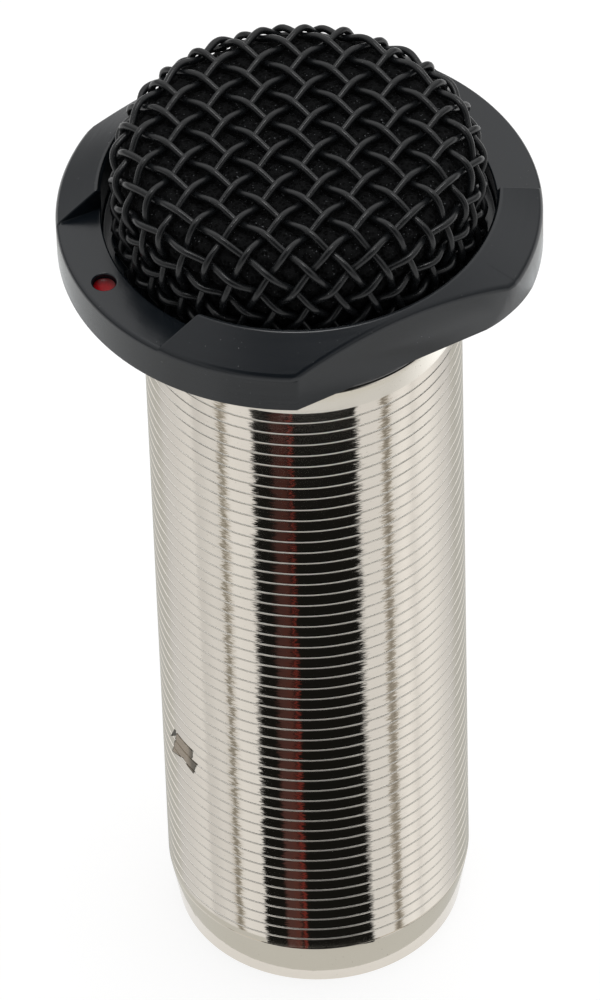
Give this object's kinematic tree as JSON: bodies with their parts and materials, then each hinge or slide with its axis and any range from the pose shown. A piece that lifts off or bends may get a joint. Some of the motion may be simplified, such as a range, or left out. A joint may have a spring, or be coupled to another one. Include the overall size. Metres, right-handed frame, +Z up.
{
  "type": "boundary microphone",
  "caption": "Flush-mount boundary microphone: a low woven-wire dome on a black flange with two flats, on a long threaded metal barrel with a pin plug built into its end.",
  "frame": {"origin": "centre of the barrel's lower rim", "axes": "+Z up the barrel towards the grille; -Y towards the red orientation dot; the two spanner flats face +X and -X"},
  "size_m": [0.027, 0.0314, 0.0711],
  "materials": {
    "nickel_plate": "bright nickel plate over brass",
    "gasket_rubber": "matt rubber",
    "black_paint": "satin black paint",
    "red_enamel": "glossy enamel",
    "grille_paint": "satin black paint on wire",
    "ring_black": "blackened, turned",
    "foam": "open-cell foam",
    "mount_rubber": "matt rubber",
    "can_metal": "drawn, satin",
    "felt": "thin felt",
    "contact_board": "lacquered board",
    "lead_red": "sleeved wire",
    "lead_black": "sleeved wire",
    "board_green": "lacquered board",
    "capacitor_sleeve": "shrink sleeve",
    "transistor_body": "moulded",
    "resistor_body": "dipped",
    "insert_plastic": "moulded",
    "pin_silver": "silver plate",
    "lead_yellow": "sleeved wire",
    "spring_bronze": "rolled strip",
    "screw_steel": "blackened steel"
  },
  "bodies": {
    "root": {"barrel": "nickel_plate", "gasket": "gasket_rubber", "flange": "black_paint", "orientation_dot": "red_enamel", "grille_dome": "grille_paint", "grille_ring": "ring_black", "windscreen": "foam", "capsule_mount": "mount_rubber", "capsule_can": "can_metal", "capsule_felt": "felt", "contact_board": "contact_board", "capsule_lead_1": "lead_red", "capsule_lead_2": "lead_black", "circuit_board": "board_green", "capacitor_1": "capacitor_sleeve", "capacitor_2": "capacitor_sleeve", "transistor_1": "transistor_body", "transistor_2": "transistor_body", "resistor_1": "resistor_body", "resistor_2": "resistor_body", "resistor_3": "resistor_body", "resistor_4": "resistor_body", "connector_insert": "insert_plastic", "pin_1": "pin_silver", "pin_2": "pin_silver", "pin_3": "pin_silver", "pin_lead": "lead_yellow", "earth_spring": "spring_bronze", "insert_screw": "screw_steel"}
  },
  "joints": []
}
